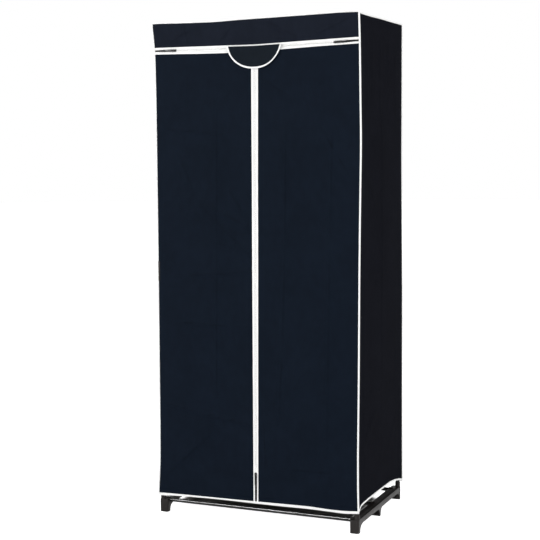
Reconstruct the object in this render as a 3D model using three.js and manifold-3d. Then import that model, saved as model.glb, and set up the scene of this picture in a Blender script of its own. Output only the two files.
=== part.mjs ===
// Portable fabric wardrobe: a tube frame on two moulded rails, under a fabric cover.
// Millimetres. X runs to the viewer's right, -Y is the front, +Z is up.
// The origin is the middle of the footprint, on the floor.
import * as THREE from 'three';
import { mergeVertices } from 'three/addons/utils/BufferGeometryUtils.js';
import Module from 'manifold-3d';

const wasm = await Module();
wasm.setup();

// Overall size: width and depth are measured from seam to seam
const width = 700;
const depth = 450;
const height = 1600;
const gap = 0.3;
const overrun = 2;

// Cover cloth, its piping and its folded bindings
const cloth = 1.2;
const pipingRadius = 3;
const bindingHeight = 10;
const bindingThickness = 2.8;
const bindingFold = 1;
const sideBelly = 2.2;
const doorBelly = 3;
const creaseDepth = 0.9;
const topSag = 4;
const frontCreases = 3;
const sideCreases = 2;
const backCreases = 3;

// Front hem: height of its lower edge at the corners and in the middle
const hemLeftHeight = 56;
const hemMiddleHeight = 60;
const hemRightHeight = 65;
const hemBackHeight = 60;

// Side hem: low at both corners and drawn up between them
const hemCornerHeight = 60;
const hemSideLift = 23;
const hemPlaceShares = [0, 0.035, 0.09, 0.2, 0.45, 0.7, 0.82, 0.93, 1];
const hemLiftShares = [0, 0.8, 0.93, 1, 1, 0.95, 0.7, 0.3, 0];

// Zips: two run along the valance and one runs down the middle
const zipDrop = 95;
const zipRiseLeft = 3.5;
const zipRiseRight = 9;
const zipTopOffset = 8.5;
const zipLean = 7;
const coilGap = 2;
const coilWidth = 1.6;
const coilThickness = 2.2;
const tapeThickness = 1;
const tapeReach = 6;
const tapeBinding = 5;
const slotWidth = 8.4;
const slotEndWidth = 4;
const slotTaper = 9;
const slotLengthLeft = 88;
const slotLengthRight = 81;
const slotLengthBottom = 104;

// Slider and its pull
const sliderWidth = 7.6;
const sliderLength = 13;
const sliderPlate = 1;
const sliderNose = 2.4;
const neckWidth = 1.3;
const neckLength = 3;
const bailWidth = 2;
const bailOpening = 2.2;
const bailThickness = 0.8;
const bailPost = 1;
const bailPlaceShare = -0.08;
const pullWidth = 6.4;
const pullTipWidth = 4.6;
const pullLength = 34;
const pullThickness = 1.2;
const pullEyeLength = 3.6;
const pullEyeWidth = 3.8;

// Half round flap over the place where the three zips meet
const flapWidth = 188;
const flapDrop = 70;
const flapFullnessShare = 0.98;
const flapRise = 7.5;
const flapBinding = 7.4;
const flapTrim = 2.5;

// Tube frame
const tubeDiameter = 13;
const tubeWall = 0.8;
const uprightInset = 11;
const uprightSetback = 13;
const joinerDiameter = 18;
const joinerLength = 64;
const joinerStop = 2;
const joinerShare = 0.5;
const crossTubeHeight = 38;
const frontTubeSetback = 22;
const middleTubeSetback = 215;
const rearTubeSetback = 42;

// Moulded base rails with three feet each
const railWidth = 30;
const railInset = 2.5;
const railSetback = 2;
const railHeight = 43;
const railWall = 2.5;
const railCorner = 7;
const archHeight = 26;
const footPad = 5;
const endFootLength = 17;
const endFootFlare = 31;
const middleFootLength = 9;
const middleFootFlare = 22;
const middleFootSetback = 220;
const ribThickness = 2;
const ribPitch = 36;
const socketDiameter = 17;
const socketHeight = 60;
const socketFloor = 14;
const sideSocketDepth = 11;
const crossSocketDiameter = 17;

// Top rails, a little smaller all round to lie inside the piping
const topRailInset = 4;
const topRailSetback = 4;
const topRailHeight = 22;
const topSocketDrop = 18;
const topTubeDrop = 12;
const topTubeSetback = 26;

// Facets
const tubeSegments = 16;
const pipeSegments = 8;
const socketSegments = 24;
const arcSegments = 6;
const clothRows = 8;
const clothColumns = 12;
const flapColumns = 20;
const valanceRows = 2;
const flapRows = 1;
const sliderSegments = 4;

// Places that follow from the sizes above
const halfWidth = width / 2;
const halfDepth = depth / 2;
const seamHeight = height - pipingRadius;
const zipHeight = height - zipDrop;
const edgeInset = pipingRadius + gap;
const frontPlane = -halfDepth + cloth / 2;
const doorEdge = halfWidth - edgeInset;
const slotEdge = bindingFold + gap;
const bindingSlot = cloth + 2 * gap;
const bandHalf = tapeReach + tapeBinding;
const uprightX = halfWidth - uprightInset;
const uprightY = halfDepth - uprightSetback;
const railOuter = halfWidth - railInset;
const railInner = railOuter - railWidth;
const railHalfLength = halfDepth - railSetback;
const topRailOuter = halfWidth - topRailInset;
const topRailHalfLength = halfDepth - topRailSetback;
const boreDiameter = tubeDiameter + 2 * gap;
const topRailTop = seamHeight - cloth / 2 - gap;
const topRailBottom = topRailTop - topRailHeight;
const topTubeHeight = topRailTop - topTubeDrop;
const joinerMiddle = height * joinerShare;
const pullAxisOffset = coilThickness / 2 + gap + sliderPlate + bailOpening / 2;
const bailPlace = sliderLength * bailPlaceShare;

const navy = { color: new THREE.Color(0.1, 0.125, 0.165), roughness: 0.95, metalness: 0 };
const white = { color: new THREE.Color(0.95, 0.95, 0.94), roughness: 0.8, metalness: 0 };
const zipWhite = { color: new THREE.Color(0.88, 0.88, 0.86), roughness: 0.6, metalness: 0 };
const blackSteel = { color: new THREE.Color(0.09, 0.09, 0.1), roughness: 0.35, metalness: 0.6 };
const blackPlastic = { color: new THREE.Color(0.2, 0.19, 0.19), roughness: 0.55, metalness: 0 };
const blackEnamel = { color: new THREE.Color(0.03, 0.03, 0.03), roughness: 0.35, metalness: 0.5 };

const wardrobe = new THREE.Group();

function addPart(name, geometry, look) {
  const mesh = new THREE.Mesh(geometry, new THREE.MeshStandardMaterial(look));
  mesh.name = name;
  wardrobe.add(mesh);
  return mesh;
}

// Solid helpers
function toSolid(geometry) {
  const bare = geometry.clone();
  bare.deleteAttribute('normal');
  bare.deleteAttribute('uv');
  const merged = mergeVertices(bare);
  const vertProperties = new Float32Array(merged.attributes.position.array);
  const triVerts = new Uint32Array(merged.index.array);
  return new wasm.Manifold(new wasm.Mesh({ numProp: 3, vertProperties, triVerts }));
}

function toGeometry(solid) {
  const mesh = solid.getMesh();
  const places = new Float32Array(mesh.vertProperties);
  const geometry = new THREE.BufferGeometry();
  geometry.setAttribute('position', new THREE.BufferAttribute(places, 3));
  geometry.setIndex(new THREE.BufferAttribute(new Uint32Array(mesh.triVerts), 1));
  geometry.computeVertexNormals();
  return geometry;
}

function signedVolume(points, faces) {
  let volume = 0;
  for (const [a, b, c] of faces) {
    volume += points[a].dot(new THREE.Vector3().crossVectors(points[b], points[c]));
  }
  return volume;
}

function closedGeometry(points, faces) {
  const outward = signedVolume(points, faces) > 0;
  const geometry = new THREE.BufferGeometry();
  const flat = points.flatMap((point) => [point.x, point.y, point.z]);
  const order = faces.flatMap(([a, b, c]) => (outward ? [a, b, c] : [a, c, b]));
  geometry.setAttribute('position', new THREE.Float32BufferAttribute(flat, 3));
  geometry.setIndex(order);
  geometry.computeVertexNormals();
  return geometry;
}

function box(sizeX, sizeY, sizeZ, x, y, z) {
  return new THREE.BoxGeometry(sizeX, sizeY, sizeZ).translate(x, y, z);
}

function extrudeAlongX(shape, length, curveSegments) {
  const geometry = new THREE.ExtrudeGeometry(shape, { depth: length, bevelEnabled: false, curveSegments });
  geometry.translate(0, 0, -length / 2);
  const turn = new THREE.Matrix4().makeBasis(
    new THREE.Vector3(0, 1, 0), new THREE.Vector3(0, 0, 1), new THREE.Vector3(1, 0, 0));
  return geometry.applyMatrix4(turn);
}

function extrudeAlongZ(shape, low, high, curveSegments) {
  const settings = { depth: high - low, bevelEnabled: false, curveSegments };
  return new THREE.ExtrudeGeometry(shape, settings).translate(0, 0, low);
}

function roundedRectangle(sizeX, sizeY, radius) {
  const x = sizeX / 2;
  const y = sizeY / 2;
  const shape = new THREE.Shape();
  shape.moveTo(-x + radius, -y);
  shape.lineTo(x - radius, -y);
  shape.absarc(x - radius, -y + radius, radius, -Math.PI / 2, 0);
  shape.lineTo(x, y - radius);
  shape.absarc(x - radius, y - radius, radius, 0, Math.PI / 2);
  shape.lineTo(-x + radius, y);
  shape.absarc(-x + radius, y - radius, radius, Math.PI / 2, Math.PI);
  shape.lineTo(-x, -y + radius);
  shape.absarc(-x + radius, -y + radius, radius, Math.PI, 1.5 * Math.PI);
  return shape;
}

function uprightCylinder(diameter, low, high, x, y) {
  const geometry = new THREE.CylinderGeometry(diameter / 2, diameter / 2, high - low, socketSegments);
  return geometry.rotateX(Math.PI / 2).translate(x, y, (low + high) / 2);
}

function crossCylinder(diameter, low, high, y, z) {
  const geometry = new THREE.CylinderGeometry(diameter / 2, diameter / 2, high - low, socketSegments);
  return geometry.rotateZ(Math.PI / 2).translate((low + high) / 2, y, z);
}

// An open tube: a ring section turned about its own axis, standing along Z
function tube(outerDiameter, innerDiameter, low, high) {
  const outer = outerDiameter / 2;
  const inner = innerDiameter / 2;
  const profile = [[inner, low], [outer, low], [outer, high], [inner, high], [inner, low]];
  const points = profile.map(([radius, along]) => new THREE.Vector2(radius, along));
  return new THREE.LatheGeometry(points, tubeSegments).rotateX(Math.PI / 2);
}

function uprightTube(low, high, x, y) {
  return tube(tubeDiameter, tubeDiameter - 2 * tubeWall, low, high).translate(x, y, 0);
}

function crossTube(halfLength, y, z) {
  const piece = tube(tubeDiameter, tubeDiameter - 2 * tubeWall, -halfLength, halfLength);
  return piece.rotateY(Math.PI / 2).translate(0, y, z);
}

// A bar of one section that is carried through rings of points and closed at both ends
function sweptBar(section, rings) {
  const points = rings.flat();
  const count = section.length;
  const faces = [];
  for (let ring = 0; ring + 1 < rings.length; ring++) {
    for (let i = 0; i < count; i++) {
      const next = (i + 1) % count;
      const a = ring * count + i;
      const b = ring * count + next;
      faces.push([a, b, b + count], [a, b + count, a + count]);
    }
  }
  const last = (rings.length - 1) * count;
  const outline = section.map(([across, through]) => new THREE.Vector2(across, through));
  for (const [a, b, c] of THREE.ShapeUtils.triangulateShape(outline, [])) {
    faces.push([a, c, b], [last + a, last + b, last + c]);
  }
  return closedGeometry(points, faces);
}

// A sheet of cloth: place(u, v) is its middle surface and normal the way it faces
function clothSheet(columns, rows, normal, place) {
  const points = [];
  const faces = [];
  const half = normal.clone().multiplyScalar(cloth / 2);
  const across = columns + 1;
  const layer = across * (rows + 1);
  for (const way of [1, -1]) {
    for (let row = 0; row <= rows; row++) {
      for (let column = 0; column <= columns; column++) {
        points.push(place(column / columns, row / rows).addScaledVector(half, way));
      }
    }
  }
  for (let row = 0; row < rows; row++) {
    for (let column = 0; column < columns; column++) {
      const a = row * across + column;
      const b = a + across;
      faces.push([a, a + 1, b + 1], [a, b + 1, b]);
      faces.push([layer + a, layer + b + 1, layer + a + 1], [layer + a, layer + b, layer + b + 1]);
    }
  }
  const rim = [];
  for (let column = 0; column < columns; column++) rim.push(column);
  for (let row = 0; row < rows; row++) rim.push(row * across + columns);
  for (let column = columns; column > 0; column--) rim.push(rows * across + column);
  for (let row = rows; row > 0; row--) rim.push(row * across);
  rim.forEach((a, index) => {
    const b = rim[(index + 1) % rim.length];
    faces.push([a, layer + b, b], [a, layer + a, layer + b]);
  });
  return closedGeometry(points, faces);
}

const mix = THREE.MathUtils.lerp;

function tableAt(places, values, place) {
  const next = Math.max(1, places.findIndex((each) => each >= place));
  const share = (place - places[next - 1]) / (places[next] - places[next - 1]);
  return mix(values[next - 1], values[next], share);
}

// Bowed cloth with soft upright creases, flat along all its edges
function clothBow(u, v, belly, creases) {
  const fade = Math.sin(Math.PI * u) * Math.sin(Math.PI * v);
  return fade * (belly + creaseDepth * Math.sin(2 * Math.PI * creases * u));
}

// Lines of the front: the level zips sag to the middle, and the upright one leans
function zipLevel(x) {
  const beyond = x - zipTopOffset;
  if (beyond < 0) return zipHeight - zipRiseLeft * beyond / (halfWidth + zipTopOffset);
  return zipHeight + zipRiseRight * beyond / (halfWidth - zipTopOffset);
}

function zipMiddle(z) {
  return zipTopOffset - zipLean * (zipHeight - z) / (zipHeight - hemMiddleHeight);
}

function frontHem(x) {
  const share = Math.abs(x) / halfWidth;
  return mix(hemMiddleHeight, x < 0 ? hemLeftHeight : hemRightHeight, share);
}

function sideHem(y) {
  const place = (y + halfDepth) / depth;
  return hemCornerHeight + hemSideLift * tableAt(hemPlaceShares, hemLiftShares, place);
}

// Zip tape section: across runs from the zip's line, through is its thickness
function tapeSection(coilStart) {
  const coil = coilThickness / 2;
  const tape = tapeThickness / 2;
  const binding = bindingThickness / 2;
  const slot = bindingSlot / 2;
  const coilBack = coilStart + coilWidth;
  const fold = tapeReach + bindingFold;
  return [
    [coilStart, -coil], [coilBack, -coil], [coilBack, -tape], [tapeReach, -tape],
    [tapeReach, -binding], [bandHalf, -binding], [bandHalf, -slot], [fold, -slot],
    [fold, slot], [bandHalf, slot], [bandHalf, binding], [tapeReach, binding],
    [tapeReach, tape], [coilBack, tape], [coilBack, coil], [coilStart, coil],
  ];
}

// Folded binding section: along is measured from the folded edge inwards
function bindingSection(foldHeight) {
  const binding = bindingThickness / 2;
  const slot = bindingSlot / 2;
  return [
    [0, -binding], [foldHeight, -binding], [foldHeight, -slot], [bindingFold, -slot],
    [bindingFold, slot], [foldHeight, slot], [foldHeight, binding], [0, binding],
  ];
}

const coilClosed = coilGap / 2;
const coilOpen = slotWidth / 2;
const coilEnd = slotEndWidth / 2;
const slotRoom = sliderLength + 2 * sliderNose;
const panelReach = tapeReach + slotEdge;

function slotInnerEnd(side) {
  return side * (halfWidth - (side < 0 ? slotLengthLeft : slotLengthRight));
}

// Moulded rails
function baseRailOutline() {
  const middleFoot = -halfDepth + middleFootSetback;
  const shape = new THREE.Shape();
  const end = railHalfLength;
  const foot = end - endFootLength;
  const flare = end - endFootLength - endFootFlare;
  shape.moveTo(-end, 0);
  shape.lineTo(-foot, 0);
  shape.quadraticCurveTo(-foot, archHeight, -flare, archHeight);
  shape.lineTo(middleFoot - middleFootLength / 2 - middleFootFlare, archHeight);
  shape.quadraticCurveTo(
    middleFoot - middleFootLength / 2, archHeight, middleFoot - middleFootLength / 2, 0);
  shape.lineTo(middleFoot + middleFootLength / 2, 0);
  shape.quadraticCurveTo(
    middleFoot + middleFootLength / 2, archHeight,
    middleFoot + middleFootLength / 2 + middleFootFlare, archHeight);
  shape.lineTo(flare, archHeight);
  shape.quadraticCurveTo(foot, archHeight, foot, 0);
  shape.lineTo(end, 0);
  shape.lineTo(end, railHeight);
  shape.lineTo(-end, railHeight);
  return shape;
}

function hollowRail(outer, railEnd, halfLength, low, high, cavityLow, cavityHigh) {
  const middle = (railInner + railEnd) / 2;
  const across = railEnd - railInner;
  const length = 2 * halfLength;
  const plan = extrudeAlongZ(
    roundedRectangle(across, length, railCorner), low - overrun, high + overrun, arcSegments);
  const outline = toSolid(outer).intersect(toSolid(plan.translate(middle, 0, 0)));
  const inside = extrudeAlongZ(
    roundedRectangle(across - 2 * railWall, length - 2 * railWall, railCorner - railWall),
    cavityLow, cavityHigh, arcSegments);
  let rail = outline.subtract(toSolid(inside.translate(middle, 0, 0)));
  const ribs = Math.floor((halfLength - endFootLength) / ribPitch);
  for (let rib = -ribs; rib <= ribs; rib++) {
    const plate = box(
      across - railWall, ribThickness, high - low - railWall / 2,
      middle, rib * ribPitch, (low + high - railWall / 2) / 2);
    rail = rail.add(toSolid(plate).intersect(outline));
  }
  return { rail, outline };
}

// Each rail is drawn for the right side and mirrored for the left
function finishRail(rail, side) {
  const geometry = toGeometry(rail);
  if (side > 0) return geometry;
  geometry.scale(-1, 1, 1);
  const index = geometry.index;
  for (let i = 0; i < index.count; i += 3) {
    const b = index.getX(i + 1);
    index.setX(i + 1, index.getX(i + 2));
    index.setX(i + 2, b);
  }
  geometry.computeVertexNormals();
  return geometry;
}

const baseTubePlaces = {
  front: -halfDepth + frontTubeSetback,
  middle: -halfDepth + middleTubeSetback,
  rear: halfDepth - rearTubeSetback,
};
const topTubePlaces = {
  front: -halfDepth + topTubeSetback,
  middle: 0,
  rear: halfDepth - topTubeSetback,
};

function addSockets(rail, outline, postLow, postHigh, boreLow, boreHigh, places, crossHeight) {
  const cornerX = halfWidth - uprightX;
  const cornerY = halfDepth - uprightY;
  let solid = rail;
  for (const end of [-1, 1]) {
    const post = uprightCylinder(socketDiameter, postLow, postHigh, uprightX, end * uprightY);
    const corner = box(
      cornerX, cornerY, postHigh - postLow,
      uprightX + cornerX / 2, end * (uprightY + cornerY / 2), (postLow + postHigh) / 2);
    solid = solid.add(toSolid(post)).add(toSolid(corner).intersect(outline));
  }
  for (const y of Object.values(places)) {
    solid = solid.add(toSolid(crossCylinder(
      crossSocketDiameter, railInner, railInner + sideSocketDepth + railWall, y, crossHeight)));
  }
  for (const end of [-1, 1]) {
    const bore = uprightCylinder(boreDiameter, boreLow, boreHigh, uprightX, end * uprightY);
    solid = solid.subtract(toSolid(bore));
  }
  for (const y of Object.values(places)) {
    solid = solid.subtract(toSolid(crossCylinder(
      boreDiameter, railInner - overrun, railInner + sideSocketDepth, y, crossHeight)));
  }
  return solid;
}

function baseRail(side) {
  const outer = extrudeAlongX(baseRailOutline(), width, arcSegments);
  const { rail, outline } = hollowRail(
    outer, railOuter, railHalfLength, 0, railHeight, footPad, railHeight - railWall);
  const fitted = addSockets(
    rail, outline, footPad / 2, socketHeight, socketFloor, socketHeight + overrun,
    baseTubePlaces, crossTubeHeight);
  return finishRail(fitted, side);
}

function topRail(side) {
  const shape = new THREE.Shape();
  shape.moveTo(-topRailHalfLength, topRailBottom);
  shape.lineTo(topRailHalfLength, topRailBottom);
  shape.lineTo(topRailHalfLength, topRailTop);
  shape.lineTo(-topRailHalfLength, topRailTop);
  const outer = extrudeAlongX(shape, width, arcSegments);
  const { rail, outline } = hollowRail(
    outer, topRailOuter, topRailHalfLength, topRailBottom, topRailTop,
    topRailBottom - overrun, topRailTop - railWall);
  const postLow = topRailBottom - topSocketDrop;
  const fitted = addSockets(
    rail, outline, postLow, topRailTop - railWall / 2, postLow - overrun, topRailTop - railWall,
    topTubePlaces, topTubeHeight);
  return finishRail(fitted, side);
}

const sides = [[-1, 'left'], [1, 'right']];
const ends = [[-1, 'front'], [1, 'rear']];

for (const [side, sideName] of sides) {
  addPart(`base_rail_${sideName}`, baseRail(side), blackPlastic);
  addPart(`top_rail_${sideName}`, topRail(side), blackPlastic);
}

// Tube frame: cross tubes, and four uprights of two lengths each
const crossTubeHalf = railInner + sideSocketDepth - gap;
for (const [place, y] of Object.entries(baseTubePlaces)) {
  addPart(`base_tube_${place}`, crossTube(crossTubeHalf, y, crossTubeHeight), blackSteel);
}
for (const [place, y] of Object.entries(topTubePlaces)) {
  const name = place === 'middle' ? 'hanging_rail' : `top_tube_${place}`;
  addPart(name, crossTube(crossTubeHalf, y, topTubeHeight), blackSteel);
}

function joiner(x, y) {
  const outer = joinerDiameter / 2;
  const bore = boreDiameter / 2;
  const stop = tubeDiameter / 2 - tubeWall;
  const half = joinerLength / 2;
  const ledge = joinerStop / 2;
  const profile = [
    [bore, -half], [outer, -half], [outer, half], [bore, half],
    [bore, ledge], [stop, ledge], [stop, -ledge], [bore, -ledge], [bore, -half],
  ];
  const points = profile.map(([radius, along]) => new THREE.Vector2(radius, along));
  const ring = new THREE.LatheGeometry(points, tubeSegments);
  return ring.rotateX(Math.PI / 2).translate(x, y, joinerMiddle);
}

for (const [side, sideName] of sides) {
  for (const [end, endName] of ends) {
    const x = side * uprightX;
    const y = end * uprightY;
    const corner = `${endName}_${sideName}`;
    const joint = joinerStop / 2 + gap;
    addPart(
      `lower_upright_${corner}`,
      uprightTube(socketFloor + gap, joinerMiddle - joint, x, y), blackSteel);
    addPart(
      `upper_upright_${corner}`,
      uprightTube(joinerMiddle + joint, topRailTop - railWall - gap, x, y), blackSteel);
    addPart(`joiner_${corner}`, joiner(x, y), blackPlastic);
  }
}

// Cover: top, back and sides
const innerHalfWidth = halfWidth - edgeInset;
const innerHalfDepth = halfDepth - edgeInset;
const panelTop = seamHeight - edgeInset;

addPart('cover_top', clothSheet(clothColumns, clothRows, new THREE.Vector3(0, 0, 1), (u, v) => {
  const sag = Math.pow(Math.sin(Math.PI * u), 2) * Math.pow(Math.sin(Math.PI * v), 2);
  return new THREE.Vector3(
    mix(-innerHalfWidth, innerHalfWidth, u), mix(-innerHalfDepth, innerHalfDepth, v),
    seamHeight - topSag * sag);
}), navy);

addPart('cover_back', clothSheet(clothColumns, clothRows, new THREE.Vector3(0, 1, 0), (u, v) => (
  new THREE.Vector3(
    mix(-innerHalfWidth, innerHalfWidth, u),
    halfDepth - cloth / 2 + clothBow(u, v, sideBelly, backCreases),
    mix(hemBackHeight + slotEdge, panelTop, v))
)), navy);

for (const [side, sideName] of sides) {
  const normal = new THREE.Vector3(side, 0, 0);
  addPart(`cover_${sideName}`, clothSheet(clothColumns, clothRows, normal, (u, v) => {
    const y = mix(-innerHalfDepth, innerHalfDepth, u);
    return new THREE.Vector3(
      side * (halfWidth - cloth / 2 + clothBow(u, v, sideBelly, sideCreases)), y,
      mix(sideHem(y) + slotEdge, panelTop, v));
  }), navy);
}

// Bindings along the hems of the sides and the back
function hemBinding(stations, place) {
  const section = bindingSection(bindingHeight);
  const rings = stations.map((station) => section.map(([up, out]) => place(station, up, out)));
  return sweptBar(section, rings);
}

for (const [side, sideName] of sides) {
  const stations = [];
  for (let step = 0; step <= clothColumns; step++) {
    stations.push(mix(-innerHalfDepth, innerHalfDepth, step / clothColumns));
  }
  addPart(`hem_${sideName}`, hemBinding(stations, (y, up, out) => (
    new THREE.Vector3(side * (halfWidth - cloth / 2 + out), y, sideHem(y) + up)
  )), white);
}
addPart('hem_back', hemBinding([-innerHalfWidth, innerHalfWidth], (x, up, out) => (
  new THREE.Vector3(x, halfDepth - cloth / 2 + out, hemBackHeight + up)
)), white);

// Piping: a ring of four round the top, and one down each corner
function piping(length) {
  return new THREE.CylinderGeometry(pipingRadius, pipingRadius, length, pipeSegments);
}

for (const [end, endName] of ends) {
  const bar = piping(width + 2 * pipingRadius).rotateZ(Math.PI / 2);
  addPart(`top_piping_${endName}`, bar.translate(0, end * halfDepth, seamHeight), white);
}
for (const [side, sideName] of sides) {
  const bar = piping(depth - 2 * edgeInset);
  addPart(`top_piping_${sideName}`, bar.translate(side * halfWidth, 0, seamHeight), white);
  for (const [end, endName] of ends) {
    const frontFoot = side < 0 ? hemLeftHeight : hemRightHeight;
    const low = end < 0 ? frontFoot : hemBackHeight;
    const post = piping(panelTop - low).rotateX(Math.PI / 2);
    post.translate(side * halfWidth, end * halfDepth, (low + panelTop) / 2);
    addPart(`corner_piping_${endName}_${sideName}`, post, white);
  }
}

// Valance above the zips, drawn in two halves that meet where the zips do
function frontX(u) {
  const share = 2 * u - 1;
  return mix(zipTopOffset, Math.sign(share) * doorEdge, Math.abs(share));
}

addPart('cover_valance', clothSheet(
  clothColumns, valanceRows, new THREE.Vector3(0, -1, 0), (u, v) => {
    const x = frontX(u);
    return new THREE.Vector3(x, frontPlane, mix(zipLevel(x) + panelReach, panelTop, v));
  }), navy);

// A tape along a level zip: up is +1 on the valance and -1 on a door.
// Beyond the slider the two coils part, and close in again to the corner.
function levelTape(side, up, endGap) {
  const slotStart = slotInnerEnd(side);
  const stations = [
    [side * doorEdge, coilEnd], [slotStart + side * slotRoom, coilOpen], [slotStart, coilOpen],
    [slotStart - side * slotTaper, coilClosed], [zipTopOffset + side * endGap, coilClosed],
  ];
  const rings = stations.map(([x, coilStart]) => tapeSection(coilStart).map(([across, through]) => (
    new THREE.Vector3(x, frontPlane + through, zipLevel(x) + up * across))));
  return sweptBar(tapeSection(coilClosed), rings);
}

for (const [side, sideName] of sides) {
  addPart(`zip_tape_valance_${sideName}`, levelTape(side, 1, gap / 2), zipWhite);
}

// Doors: each is a panel with a bound hem and a zip tape on its top and inner edges
for (const [side, sideName] of sides) {
  const hinge = side * doorEdge;
  addPart(`door_${sideName}_panel`, clothSheet(
    clothColumns, clothRows, new THREE.Vector3(0, -1, 0), (u, v) => {
      const lowX = zipMiddle(hemMiddleHeight) + side * panelReach;
      const highX = zipMiddle(zipHeight) + side * panelReach;
      const x = mix(hinge, mix(lowX, highX, v), u);
      const z = mix(frontHem(x) + slotEdge, zipLevel(x) - panelReach, v);
      return new THREE.Vector3(x, frontPlane - clothBow(u, v, doorBelly, frontCreases), z);
    }), navy);

  const hemEnd = zipMiddle(hemMiddleHeight) + side * (bandHalf + gap);
  addPart(`door_${sideName}_hem`, hemBinding([hinge, hemEnd], (x, up, out) => (
    new THREE.Vector3(x, frontPlane + out, frontHem(x) + up)
  )), white);

  addPart(`door_${sideName}_top_tape`, levelTape(side, -1, coilClosed), zipWhite);

  const slotTop = hemMiddleHeight + slotLengthBottom;
  const levels = [
    [hemMiddleHeight, coilEnd], [slotTop - slotRoom, coilOpen], [slotTop, coilOpen],
    [slotTop + slotTaper, coilClosed], [zipHeight, coilClosed],
  ];
  const rings = levels.map(([z, coilStart], index) => tapeSection(coilStart).map(([across, through]) => {
    const x = zipMiddle(z) + side * across;
    const top = index === levels.length - 1;
    const bottom = index === 0;
    const level = top ? zipLevel(x) - bandHalf - gap : bottom ? frontHem(x) : z;
    return new THREE.Vector3(x, frontPlane + through, level);
  }));
  addPart(`door_${sideName}_zip_tape`, sweptBar(tapeSection(coilClosed), rings), zipWhite);
}

// Zip slider: two plates and a neck, with a bail that carries the pull.
// It is drawn with its way of opening along +Z and its front towards -Y.
function sliderGeometry() {
  const nose = sliderWidth / 2 - sliderNose;
  const half = sliderWidth / 2;
  const long = sliderLength / 2;
  const outline = new THREE.Shape();
  outline.moveTo(-nose, -long);
  outline.lineTo(nose, -long);
  outline.quadraticCurveTo(half, -long, half, -long + 2 * sliderNose);
  outline.lineTo(half, long - sliderNose);
  outline.quadraticCurveTo(half, long, nose, long);
  outline.lineTo(-nose, long);
  outline.quadraticCurveTo(-half, long, -half, long - sliderNose);
  outline.lineTo(-half, -long + 2 * sliderNose);
  outline.quadraticCurveTo(-half, -long, -nose, -long);
  const coilHalf = coilThickness / 2 + gap;
  const plate = () => new THREE.ExtrudeGeometry(
    outline, { depth: sliderPlate, bevelEnabled: false, curveSegments: sliderSegments }).rotateX(Math.PI / 2);
  const front = toSolid(plate().translate(0, -coilHalf, 0));
  const back = toSolid(plate().translate(0, coilHalf + sliderPlate, 0));
  const neck = toSolid(box(
    neckWidth, 2 * coilHalf + sliderPlate, neckLength, 0, 0, -long + neckLength / 2 + gap));
  const plateFront = -coilHalf - sliderPlate;
  const bailReach = bailOpening + bailThickness;
  const bailLength = bailOpening + 2 * bailPost;
  const bail = toSolid(box(
    bailWidth, bailReach + sliderPlate / 2, bailLength,
    0, plateFront - (bailReach - sliderPlate / 2) / 2, bailPlace));
  const eye = toSolid(box(
    bailWidth + overrun, bailOpening, bailOpening, 0, plateFront - bailOpening / 2, bailPlace));
  return toGeometry(front.add(back).add(neck).add(bail).subtract(eye));
}

// Pull: a flat tab whose cross bar lies in the bail
function pullGeometry() {
  const half = pullWidth / 2;
  const tip = pullTipWidth / 2;
  const bar = pullThickness / 2;
  const eyeHalf = pullEyeWidth / 2;
  const outline = new THREE.Shape();
  outline.moveTo(-half, bar);
  outline.lineTo(-tip, -pullLength + tip);
  outline.absarc(0, -pullLength + tip, tip, Math.PI, 2 * Math.PI);
  outline.lineTo(half, bar);
  const eye = new THREE.Path();
  eye.moveTo(-eyeHalf, -bar);
  eye.lineTo(eyeHalf, -bar);
  eye.lineTo(eyeHalf, -bar - pullEyeLength);
  eye.lineTo(-eyeHalf, -bar - pullEyeLength);
  outline.holes.push(eye);
  const tab = new THREE.ExtrudeGeometry(
    outline, { depth: pullThickness, bevelEnabled: false, curveSegments: arcSegments });
  return tab.translate(0, 0, -pullThickness / 2).rotateX(Math.PI / 2);
}

// Each slider waits closed, at the far end of its zip, beside the open slot
function addSlider(name, x, z, openWay) {
  const turn = new THREE.Matrix4().makeRotationY(openWay);
  const shift = new THREE.Matrix4().makeTranslation(x, frontPlane, z);
  const place = shift.multiply(turn);
  const pull = pullGeometry().translate(0, -pullAxisOffset, bailPlace);
  addPart(`slider_${name}`, sliderGeometry().applyMatrix4(place), blackEnamel);
  addPart(`pull_${name}`, pull.applyMatrix4(place), blackEnamel);
}

const sliderEnd = sliderLength / 2 + gap;
for (const [side, sideName] of sides) {
  const x = slotInnerEnd(side) + side * sliderEnd;
  const rise = zipLevel(side * halfWidth) - zipHeight;
  const slope = Math.atan(rise / (halfWidth - side * zipTopOffset));
  addSlider(sideName, x, zipLevel(x), -side * (Math.PI / 2 + slope));
}
const centreSliderZ = hemMiddleHeight + slotLengthBottom - sliderEnd;
addSlider(
  'centre', zipMiddle(centreSliderZ), centreSliderZ,
  Math.atan(zipLean / (zipHeight - hemMiddleHeight)));

// Flap: a half round of cloth, sewn on above the zips and hanging over their meeting
const flapPlane = frontPlane - bindingThickness - gap;

function flapPoint(u, reach, through) {
  const across = Math.cos(Math.PI * u);
  const fullness = Math.sign(across) * Math.pow(Math.abs(across), flapFullnessShare);
  const drop = (flapDrop + reach) * Math.pow(Math.sin(Math.PI * u), flapFullnessShare);
  return new THREE.Vector3(
    zipTopOffset - (flapWidth / 2 + reach) * fullness, flapPlane + through,
    zipHeight + flapRise - flapTrim - drop);
}

addPart('flap_panel', clothSheet(
  flapColumns, flapRows, new THREE.Vector3(0, -1, 0), (u, v) => {
    const low = flapPoint(u, -slotEdge, 0);
    const topEdge = zipHeight + flapRise;
    return new THREE.Vector3(low.x, low.y, mix(low.z, topEdge, v));
  }), navy);

const flapRings = [];
for (let step = 0; step <= flapColumns; step++) {
  flapRings.push(bindingSection(flapBinding).map(([inwards, through]) => (
    flapPoint(step / flapColumns, -inwards, through))));
}
addPart('flap_binding', sweptBar(bindingSection(flapBinding), flapRings), white);

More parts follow.
